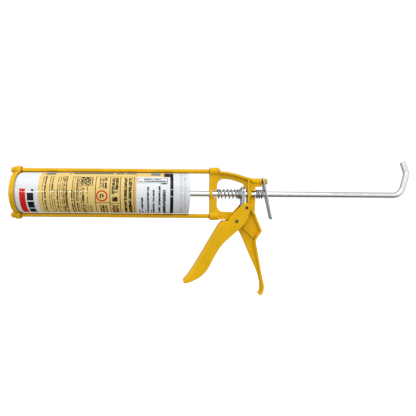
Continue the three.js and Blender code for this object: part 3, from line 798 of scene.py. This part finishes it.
def make_pin(name, body, material):
    """A pin across the casting, its ends set with a hammer to a low dome."""
    start, end = low(name), high(name)
    centre = (start + end) / 2
    radius = (end.x - start.x) / 2
    half = end.y
    profile = [(-half, 0), (-half + PIN_DOME * 0.3, radius * 0.55), (-half + PIN_DOME, radius)]
    profile += [(-along, across) for along, across in reversed(profile)]
    bm = soften(turned(profile, 0, 40), 0.2 * MM, 2, 25)
    bmesh.ops.rotate(bm, cent=(0, 0, 0), matrix=Matrix.Rotation(math.pi / 2, 3, "Z"), verts=bm.verts)
    bmesh.ops.translate(bm, vec=(centre.x, 0, centre.z), verts=bm.verts)
    add_piece(bm, name + "_set", body, material, [name])


def cross_plate(x0, thickness, width, top, bottom, top_corner, hole):
    """A stamped plate that stands across the rod, with rounded corners and a hole for the rod."""
    bm = bmesh.new()
    outline = ((-width / 2, -bottom), (width / 2, -bottom), (width / 2, top), (-width / 2, top))
    points = [bm.verts.new((x0, y, ROD_Z + z)) for y, z in outline]
    bm.faces.new(points)
    for ends, size in ((points[:2], PLATE_CORNER), (points[2:], top_corner)):
        bmesh.ops.bevel(
            bm, geom=ends, offset=size, offset_type="OFFSET", segments=10, profile=0.5,
            affect="VERTICES", material=-1)
    bmesh.ops.delete(bm, geom=bm.faces[:], context="FACES_ONLY")
    upright = Matrix.Translation((x0, 0, ROD_Z)) @ Matrix.Rotation(math.pi / 2, 4, "Y")
    bmesh.ops.create_circle(bm, cap_ends=False, segments=36, radius=hole, matrix=upright)
    bmesh.ops.bridge_loops(bm, edges=bm.edges[:])
    pushed = bmesh.ops.extrude_face_region(bm, geom=bm.faces[:])
    moved = [v for v in pushed["geom"] if isinstance(v, bmesh.types.BMVert)]
    bmesh.ops.translate(bm, vec=(thickness, 0, 0), verts=moved)
    bmesh.ops.recalc_face_normals(bm, faces=bm.faces)
    return bm


def make_drive_plate(name, zinc, sizes):
    """One of the two plates that grip the rod, with a rounded upper end."""
    start, end = low(name), high(name)
    bm = cross_plate(
        start.x, end.x - start.x, sizes.plate_width, end.z - ROD_Z, ROD_Z - start.z,
        sizes.plate_width / 2 - 0.2 * MM, sizes.rod_diameter / 2 + LOOSE_FIT)
    soften(bm, PLATE_EDGE, 3, 50)
    add_piece(bm, name + "_stamped", "drive", zinc, [name])


def make_washer(zinc, sizes):
    """The washer between the main spring and the plates."""
    start, end = low("spring_washer"), high("spring_washer")
    hole, rim = sizes.rod_diameter / 2 + LOOSE_FIT, end.y
    profile = [(start.x, hole), (start.x, rim), (end.x, rim), (end.x, hole), (start.x, hole)]
    bm = soften(turned(profile), 0.25 * MM)
    add_piece(bm, "spring_washer_stamped", "drive", zinc, ["spring_washer"])


def coil(x0, x1, outer, wire, turns):
    """A compression spring: one closed turn at each end and open turns between them."""
    steps = 26
    closed = wire * 1.12
    opened = (x1 - x0 - wire - 2 * closed) / (turns - 2)
    bm = bmesh.new()
    ring = Matrix.Translation((x0 + wire / 2, (outer - wire) / 2, ROD_Z))
    bmesh.ops.create_circle(bm, cap_ends=False, segments=12, radius=wire / 2, matrix=ring)
    end = bm.verts[:] + bm.edges[:]
    for count, pitch in ((1, closed), (turns - 2, opened), (1, closed)):
        number = round(count * steps)
        wound = bmesh.ops.spin(
            bm, geom=end, cent=(0, 0, ROD_Z), axis=(1, 0, 0), dvec=(pitch * count / number, 0, 0),
            angle=2 * math.pi * count, steps=number, use_merge=False)
        end = wound["geom_last"]
    return close_ends(bm)


def make_spring(name, turns, wire_steel, sizes):
    """A spring wound over the length of its node."""
    start, end = low(name), high(name)
    bm = coil(start.x, end.x, 2 * end.y, sizes.wire_diameter, turns)
    spring = add_piece(bm, name + "_wire", "frame", wire_steel, [name])
    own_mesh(spring)


def make_release_plate(zinc, sizes):
    """The thumb plate, forked over the nose's neck and bored loosely round the rod."""
    hinge = Vector(JOINTS["release_press"]["pos_m"])
    lean = sizes.release_tilt
    rise = (hinge.z - ROD_Z) / math.cos(lean)
    thickness = 1.8 * MM
    top, bottom = 19.8 * MM / math.cos(lean), 31 * MM / math.cos(lean)
    bm = cross_plate(
        -thickness / 2, thickness, sizes.release_width, top, bottom, PLATE_CORNER,
        sizes.rod_diameter / 2 + RELEASE_FIT)
    throat, past = 2.5 * MM, 5 * MM
    bm = combined(bm, bar(-past, past, throat, ROD_Z + rise, 32), "DIFFERENCE")
    slot = block(-past, past, -throat, throat, ROD_Z + rise, ROD_Z + top + past)
    bm = combined(bm, slot, "DIFFERENCE")
    soften(bm, PLATE_EDGE, 3, 50)
    bmesh.ops.rotate(bm, cent=(0, 0, ROD_Z), matrix=Matrix.Rotation(-lean, 3, "Y"), verts=bm.verts)
    axis_x = hinge.x + (hinge.z - ROD_Z) * math.tan(lean)
    bmesh.ops.translate(bm, vec=(axis_x, 0, 0), verts=bm.verts)
    add_piece(bm, "release_plate_stamped", "release", zinc, ["release_plate"])


def make_push_rod(zinc, sizes):
    """The push rod: one drawn rod, bent twice at its rear end into a hook."""
    radius, bend = sizes.rod_diameter / 2, sizes.hook_bend
    lean, tip_lean = sizes.hook_lean, sizes.tip_lean
    first_turn = math.pi / 2 - lean
    second_turn = lean + tip_lean
    cut_back = [bend * math.tan(turn / 2) for turn in (first_turn, second_turn)]
    start = low("push_rod").x
    corner = CASTING_X + sizes.casting_length + sizes.hook_start
    bm = bmesh.new()
    upright = Matrix.Translation((start, 0, ROD_Z)) @ Matrix.Rotation(math.pi / 2, 4, "Y")
    bmesh.ops.create_circle(bm, cap_ends=False, segments=32, radius=radius, matrix=upright)
    end = bm.edges[:]

    def straight(edges, heading, distance):
        pushed = bmesh.ops.extrude_edge_only(bm, edges=edges)["geom"]
        points = [g for g in pushed if isinstance(g, bmesh.types.BMVert)]
        bmesh.ops.translate(bm, vec=heading * distance, verts=points)
        return [g for g in pushed if isinstance(g, bmesh.types.BMEdge) and set(g.verts) <= set(points)]

    def bent(edges, centre, turn):
        points = list({v for e in edges for v in e.verts})
        wound = bmesh.ops.spin(
            bm, geom=points + list(edges), cent=centre, axis=(0, 1, 0), dvec=(0, 0, 0), angle=-turn,
            steps=24, use_merge=False)
        return [g for g in wound["geom_last"] if isinstance(g, bmesh.types.BMEdge)]

    heading = Vector((1, 0, 0))
    side = Vector((0, 0, 1))
    place = Vector((corner, 0, ROD_Z))
    end = straight(end, heading, corner - start)
    lengths = (sizes.hook_leg - cut_back[0] - cut_back[1], sizes.hook_tip - cut_back[1])
    for turn, run in zip((first_turn, second_turn), lengths):
        centre = place + side * bend
        end = bent(end, centre, turn)
        swing = Matrix.Rotation(-turn, 3, "Y")
        place = centre + swing @ (place - centre)
        heading, side = swing @ heading, swing @ side
        end = straight(end, heading, run)
        place = place + heading * run
    close_ends(bm)
    soften(bm, 0.7 * MM, 3, 60)
    add_piece(bm, "push_rod_drawn", "rod", zinc, ["push_rod"])


def make_piston(zinc, sizes):
    """The cupped disc that drives the plunger, with its nut in front and its collar behind."""
    start, end = low("piston_disc"), high("piston_disc")
    radius = end.y
    sheet = 1.8 * MM
    hole = sizes.rod_diameter / 2 + LOOSE_FIT
    profile = [
        (start.x, hole), (start.x, radius - 1.6 * MM), (start.x + 1.6 * MM, radius), (end.x, radius),
        (end.x, radius - sheet), (start.x + 2.4 * MM, radius - sheet),
        (start.x + sheet, radius - 3 * MM), (start.x + sheet, hole), (start.x, hole)]
    add_piece(
        soften(turned(profile, steps=120), 0.4 * MM, 3, 25), "piston_disc_pressed", "piston", zinc,
        ["piston_disc"])
    start, end = low("piston_collar"), high("piston_collar")
    hole = sizes.rod_diameter / 2 + CLOSE_FIT
    profile = [(start.x, hole), (start.x, end.y), (end.x, end.y), (end.x, hole), (start.x, hole)]
    add_piece(
        soften(turned(profile), 0.4 * MM, 3), "piston_collar_turned", "rod", zinc, ["piston_collar"])
    start, end = low("piston_nut"), high("piston_nut")
    corner = max(end.y, end.z - ROD_Z)
    flat = corner * math.cos(math.pi / 6)
    nut = bar(start.x, end.x, corner, steps=6)
    chamfer = (corner - flat) * 0.55
    cone = turned([
        (start.x - MM, 0), (start.x - MM, flat - MM * 0.9), (start.x + chamfer, corner + 0.02 * MM),
        (end.x - chamfer, corner + 0.02 * MM), (end.x + MM, flat - MM * 0.9), (end.x + MM, 0)])
    nut = combined(nut, cone, "INTERSECT")
    nut = combined(nut, bar(start.x - MM, end.x + MM, hole), "DIFFERENCE")
    add_piece(
        soften(nut, 0.12 * MM, 2, 20), "piston_nut_hex", "rod", zinc, ["piston_nut"])


def make_cartridge(materials):
    """The sealant cartridge: printed tube with its threaded nipple, plunger and paper sticker."""
    front = RING_X + 2.8 * MM
    rear = high("cartridge_tube").x
    tip = low("cartridge_tube").x
    wall = 1.4 * MM
    inner = TUBE_RADIUS - wall
    shoulder, shoulder_end = TUBE_RADIUS - 1.5 * MM, RING_X + 7.2 * MM
    nipple, bore = 7.5 * MM, 4 * MM
    thread = []
    x = tip + 2.2 * MM
    while x < front - 2.6 * MM:
        thread += [
            (x, nipple - 0.9 * MM), (x + 0.55 * MM, nipple), (x + 0.85 * MM, nipple),
            (x + 1.4 * MM, nipple - 0.9 * MM)]
        x += 1.9 * MM
    profile = [
        (tip, 0), (tip, nipple - 1.8 * MM), (tip + 0.9 * MM, nipple - 0.9 * MM), *thread,
        (front, nipple - 0.9 * MM), (front, shoulder - 0.8 * MM), (front + 0.8 * MM, shoulder),
        (shoulder_end, shoulder), (shoulder_end, TUBE_RADIUS - 0.5 * MM),
        (shoulder_end + 0.5 * MM, TUBE_RADIUS),
        (rear, TUBE_RADIUS), (rear, inner), (shoulder_end + wall, inner),
        (shoulder_end + wall - 0.6 * MM, shoulder - wall), (front + 1.8 * MM, shoulder - wall),
        (front + 1.8 * MM, bore), (tip + 1.6 * MM, bore), (tip + 1.6 * MM, 0)]
    bm = turned(profile, steps=144)
    # The film covers only the outside. The second material is the bare plastic.
    for face in bm.faces:
        place = face.calc_center_median()
        bare = math.hypot(place.y, place.z - ROD_Z) < TUBE_RADIUS - 1.2 * MM
        face.material_index = int(bare)
    tube = add_piece(
        soften(bm, 0.16 * MM, 2, 25), "cartridge_tube_printed", "cartridge",
        materials["printed gloss film"], ["cartridge_tube"])
    tube.data.materials.append(materials["milky polyethylene"])

    start, end = low("cartridge_plunger"), high("cartridge_plunger")
    edge = end.y
    skirt = edge - 1.6 * MM
    profile = [
        (start.x, 0), (start.x, edge - 3 * MM), (start.x + 2.5 * MM, edge), (start.x + 4.5 * MM, edge),
        (start.x + 5 * MM, edge - 0.5 * MM), (end.x - 4.5 * MM, edge - 0.5 * MM), (end.x - 4 * MM, edge),
        (end.x, edge), (end.x, skirt), (start.x + 4 * MM, skirt), (start.x + 2.2 * MM, skirt - 2 * MM),
        (start.x + 2.2 * MM, 0)]
    add_piece(
        soften(turned(profile, steps=96), 0.3 * MM, 2, 25), "cartridge_plunger_moulded", "cartridge",
        materials["milky polyethylene"], ["cartridge_plunger"])

    start, end = low("cartridge_sticker"), high("cartridge_sticker")
    first, last = (math.radians(degrees) for degrees in STICKER_SWEEP)
    under, over = TUBE_RADIUS + 0.05 * MM, TUBE_RADIUS + 0.16 * MM
    bm = bmesh.new()
    corners = [(start.x, under), (end.x, under), (end.x, over), (start.x, over)]
    points = [
        bm.verts.new((x, r * math.cos(first), ROD_Z + r * math.sin(first))) for x, r in corners]
    sheet = bm.faces.new(points)
    bmesh.ops.spin(
        bm, geom=[sheet], cent=(0, 0, ROD_Z), axis=(1, 0, 0), dvec=(0, 0, 0), angle=last - first,
        steps=60, use_merge=False)
    bmesh.ops.recalc_face_normals(bm, faces=bm.faces)
    add_piece(
        bm, "cartridge_sticker_paper", "cartridge", materials["coated paper"], ["cartridge_sticker"])


# ---------- stage ----------

FLOOR_SIZE, ROOM_RADIUS, FLOOR_GAP = 20, 15, 0.2 * MM
CAMERA_PLACE = (182.69, -490, -5.67)  # mm from the ring's front face, the middle and the rod's axis
CAMERA_ROLL = 0.45  # degrees
CAMERA_LENS, CAMERA_SENSOR = 34.06, 36  # mm
CAMERA_SHIFT = (0.1082, -0.0240)


def seen_only_by_camera(thing):
    """Keeps the floor and the room out of the object's light."""
    for ray in ("diffuse", "glossy", "transmission", "volume_scatter", "shadow"):
        setattr(thing, "visible_" + ray, False)


def make_floor():
    """A pale floor under the handle, and a white room around it that only the camera sees."""
    material, tree = blank_material("pale floor")
    shader = add(
        tree, "ShaderNodeBsdfPrincipled",
        {"Base Color": linear("#FBFBFB"), "Roughness": 0.9, "Emission Color": linear("#FFFFFF"),
         "Emission Strength": 0.6})
    finish_material(tree, shader)
    bm = bmesh.new()
    bmesh.ops.create_grid(bm, x_segments=1, y_segments=1, size=FLOOR_SIZE)
    bmesh.ops.translate(bm, vec=(0, 0, CAD_BOX[0].z - FLOOR_GAP), verts=bm.verts)
    floor = placed(bm, "floor")
    floor.data.materials.append(material)
    white, tree = blank_material("white room")
    glow = add(tree, "ShaderNodeEmission", {"Color": linear("#FFFFFF"), "Strength": 1.02})
    finish_material(tree, glow)
    bm = bmesh.new()
    bmesh.ops.create_icosphere(bm, subdivisions=3, radius=ROOM_RADIUS)
    room = placed(bm, "room")
    room.data.materials.append(white)
    for thing in (floor, room):
        seen_only_by_camera(thing)


# Brightness of the room by height, from 0 straight below to 1 straight above. Matt surfaces get the
# even light of a white sweep. Gloss shows a darker floor, as under a light tent.
MATT_LIGHT = ((0.0, 0.36), (0.25, 0.62), (0.50, 0.84), (0.75, 0.88), (1.0, 0.76))
GLOSS_LIGHT = (
    (0.0, 0.20), (0.10, 0.22), (0.20, 0.40), (0.34, 0.95), (0.50, 1.12), (0.75, 1.10), (1.0, 0.90),
)


def by_height(tree, height, steps):
    """A grey that changes with height in the given steps."""
    ramp = add(tree, "ShaderNodeValToRGB", {"Fac": height})
    elements = ramp.color_ramp.elements
    elements.remove(elements[1])
    for index, (place, shade) in enumerate(steps):
        element = elements[0] if index == 0 else elements.new(place)
        element.position = place
        element.color = (shade, shade, shade, 1)
    return ramp.outputs[0]


def make_world():
    """A soft room for matt surfaces. Glossy ones see a bright front and a darker far side."""
    world = bpy.data.worlds.new("soft studio")
    world.use_nodes = True
    tree = world.node_tree
    tree.nodes.clear()
    heading = add(tree, "ShaderNodeTexCoord").outputs["Generated"]
    parts = add(tree, "ShaderNodeSeparateXYZ", {"Vector": heading})
    height = add(
        tree, "ShaderNodeMapRange",
        {"Value": parts.outputs[2], "From Min": -1.0, "From Max": 1.0, "To Min": 0.0, "To Max": 1.0})
    far_side = add(
        tree, "ShaderNodeMapRange",
        {"Value": parts.outputs[1], "From Min": -0.5, "From Max": 0.5, "To Min": 1.0, "To Max": 0.40})
    matt = add(tree, "ShaderNodeBackground", {"Color": by_height(tree, height, MATT_LIGHT)})
    gloss = add(
        tree, "ShaderNodeBackground",
        {"Color": by_height(tree, height, GLOSS_LIGHT), "Strength": far_side})
    ray = add(tree, "ShaderNodeLightPath").outputs["Is Glossy Ray"]
    both_rooms = add(tree, "ShaderNodeMixShader", {0: ray, 1: matt, 2: gloss})
    add(tree, "ShaderNodeOutputWorld", {"Surface": both_rooms})
    bpy.context.scene.world = world


LIGHTS = (
    # name, place, size, power in watts, whether it lights matt surfaces as well
    ("softbox above", (-0.10, -0.55, 0.95), (1.3, 0.7), 5.6, True),
    ("strip for the gloss", (-0.38, -0.62, 0.10), (0.26, 0.035), 1.0, False),
)


def make_lights():
    """Area lights that face the rod's middle."""
    for name, place, size, power, matt in LIGHTS:
        lamp = bpy.data.lights.new(name, "AREA")
        lamp.shape = "RECTANGLE"
        lamp.size, lamp.size_y = size
        lamp.energy = power
        made = bpy.data.objects.new(name, lamp)
        made.location = place
        made.visible_diffuse = matt
        towards = Vector((0, 0, ROD_Z)) - Vector(place)
        made.rotation_euler = towards.to_track_quat("-Z", "Y").to_euler()
        bpy.context.scene.collection.objects.link(made)


def make_camera():
    """A camera square to the gun's side, shifted so that the hook and the handle stay in view."""
    camera = bpy.data.cameras.new("camera")
    camera.lens = CAMERA_LENS
    camera.sensor_width = CAMERA_SENSOR
    camera.shift_x, camera.shift_y = CAMERA_SHIFT
    camera.clip_start, camera.clip_end = 0.01, 60
    made = bpy.data.objects.new("camera", camera)
    along, across, rise = (distance * MM for distance in CAMERA_PLACE)
    made.location = (RING_X + along, across, ROD_Z + rise)
    level = Matrix.Rotation(math.pi / 2, 4, "X")
    made.rotation_euler = (level @ Matrix.Rotation(math.radians(CAMERA_ROLL), 4, "Z")).to_euler()
    bpy.context.scene.collection.objects.link(made)
    bpy.context.scene.camera = made
    bpy.context.scene.view_settings.view_transform = "Standard"


# ---------- operators ----------

class GUN_OT_castings(bpy.types.Operator):
    """Make the enamelled casting, front ring and trigger"""
    bl_idname = "gun.castings"
    bl_label = "Castings"

    def execute(self, context):
        enamel = finishes()["yellow stoving enamel"]
        make_body_casting(enamel)
        make_front_ring(enamel, context.scene.gun_sizes)
        make_trigger(enamel)
        return {"FINISHED"}


class GUN_OT_rails(bpy.types.Operator):
    """Make the two rails"""
    bl_idname = "gun.rails"
    bl_label = "Rails"

    def execute(self, context):
        enamel = finishes()["yellow stoving enamel"]
        make_rail("rail_top", 1, enamel, context.scene.gun_sizes)
        make_rail("rail_bottom", -1, enamel, context.scene.gun_sizes)
        return {"FINISHED"}


class GUN_OT_pins(bpy.types.Operator):
    """Make the pivot pin and the drive pin"""
    bl_idname = "gun.pins"
    bl_label = "Pins"

    def execute(self, context):
        materials = finishes()
        make_pin("pivot_pin", "frame", materials["dull set pin"])
        make_pin("drive_pin", "trigger", materials["near-black pin"])
        return {"FINISHED"}


class GUN_OT_drive(bpy.types.Operator):
    """Make the drive plates, the washer and the main spring"""
    bl_idname = "gun.drive"
    bl_label = "Drive"

    def execute(self, context):
        sizes, materials = context.scene.gun_sizes, finishes()
        zinc = materials["bright zinc on stamped plate"]
        make_drive_plate("drive_plate_front", zinc, sizes)
        make_drive_plate("drive_plate_rear", zinc, sizes)
        make_washer(zinc, sizes)
        make_spring(
            "main_spring", sizes.main_turns, materials["oiled spring wire"], sizes)
        return {"FINISHED"}


class GUN_OT_release(bpy.types.Operator):
    """Make the release plate and its spring"""
    bl_idname = "gun.release"
    bl_label = "Release"

    def execute(self, context):
        sizes, materials = context.scene.gun_sizes, finishes()
        make_release_plate(materials["bright zinc on stamped plate"], sizes)
        make_spring(
            "release_spring", sizes.release_turns, materials["oiled spring wire"], sizes)
        return {"FINISHED"}


class GUN_OT_push_rod(bpy.types.Operator):
    """Make the hooked push rod, the piston, its nut and its collar"""
    bl_idname = "gun.push_rod"
    bl_label = "Push rod"

    def execute(self, context):
        sizes, materials = context.scene.gun_sizes, finishes()
        make_push_rod(materials["bright zinc on drawn rod"], sizes)
        make_piston(materials["bright zinc on stamped plate"], sizes)
        return {"FINISHED"}


class GUN_OT_cartridge(bpy.types.Operator):
    """Make the cartridge: tube, plunger and sticker"""
    bl_idname = "gun.cartridge"
    bl_label = "Cartridge"

    def execute(self, context):
        make_cartridge(finishes())
        return {"FINISHED"}


class GUN_OT_stage(bpy.types.Operator):
    """Make the floor, the soft lights and the camera"""
    bl_idname = "gun.stage"
    bl_label = "Stage"

    def execute(self, context):
        make_floor()
        make_world()
        make_lights()
        make_camera()
        return {"FINISHED"}


OPERATORS = (
    GUN_OT_castings, GUN_OT_rails, GUN_OT_pins, GUN_OT_drive, GUN_OT_release, GUN_OT_push_rod,
    GUN_OT_cartridge, GUN_OT_stage,
)


class VIEW3D_PT_caulking_gun(bpy.types.Panel):
    """Lists the sizes, the colours and the pieces"""
    bl_idname = "VIEW3D_PT_caulking_gun"
    bl_label = "Caulking Gun"
    bl_space_type = "VIEW_3D"
    bl_region_type = "UI"
    bl_category = "Caulking Gun"

    def draw(self, context):
        for group in (context.scene.gun_sizes, context.scene.gun_colours):
            box = self.layout.box()
            for name in group.__annotations__:
                box.prop(group, name)
        for operator in OPERATORS:
            self.layout.operator(operator.bl_idname)


CLASSES = (CaulkingGunSizes, CaulkingGunColours, *OPERATORS, VIEW3D_PT_caulking_gun)


def register():
    for cls in CLASSES:
        bpy.utils.register_class(cls)
    bpy.types.Scene.gun_sizes = bpy.props.PointerProperty(type=CaulkingGunSizes)
    bpy.types.Scene.gun_colours = bpy.props.PointerProperty(type=CaulkingGunColours)


def unregister():
    del bpy.types.Scene.gun_sizes
    del bpy.types.Scene.gun_colours
    for cls in reversed(CLASSES):
        bpy.utils.unregister_class(cls)


def main():
    register()
    for operator in OPERATORS:
        group, name = operator.bl_idname.split(".")
        getattr(getattr(bpy.ops, group), name)()


if __name__ == "__main__":
    main()
